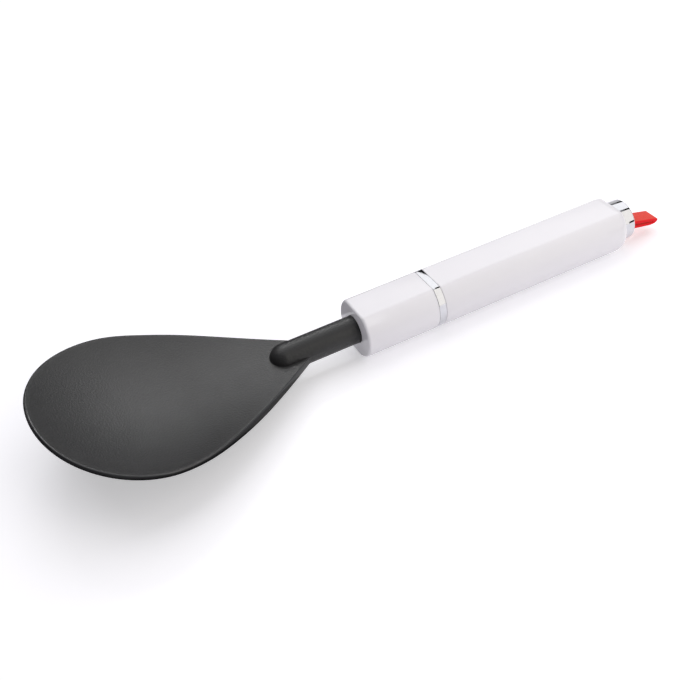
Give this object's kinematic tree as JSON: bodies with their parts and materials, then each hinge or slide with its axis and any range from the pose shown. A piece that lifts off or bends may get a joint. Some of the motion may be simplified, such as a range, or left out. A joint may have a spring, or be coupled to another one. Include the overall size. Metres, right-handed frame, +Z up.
{
  "type": "serving spatula",
  "caption": "Serving spatula with an upswept oval nylon blade, a white handle with a flat top, a chrome band and end cap, and a swinging ribbon loop.",
  "frame": {"origin": "middle of the bounding box's bottom, on the plane of the rest flat under the handle", "axes": "+X along the handle from the blade's tip to the loop, +Z up out of the handle's flat top, Y sideways"},
  "size_m": [0.3114, 0.089, 0.0359],
  "materials": {
    "black_nylon": "satin moulded nylon",
    "white_plastic": "glossy moulded white",
    "chrome_plate": "mirror-bright chrome",
    "steel": "plain zinc-plated steel",
    "red_ribbon": "woven ribbed ribbon"
  },
  "bodies": {
    "spatula": {"nylon_head": "black_nylon", "front_collar": "white_plastic", "chrome_band": "chrome_plate", "grip": "white_plastic", "clamp_screw": "steel", "clamp_washer": "steel", "end_cap": "chrome_plate", "loop_pin": "steel"},
    "loop": {"hanging_loop": "red_ribbon"}
  },
  "joints": [
    {"name": "loop_swing", "type": "hinge", "parent": "spatula", "child": "loop", "pos_m": [0.12595, 0, 0.01289], "axis": [0, -1, 0], "range_deg": [0, 28]}
  ]
}
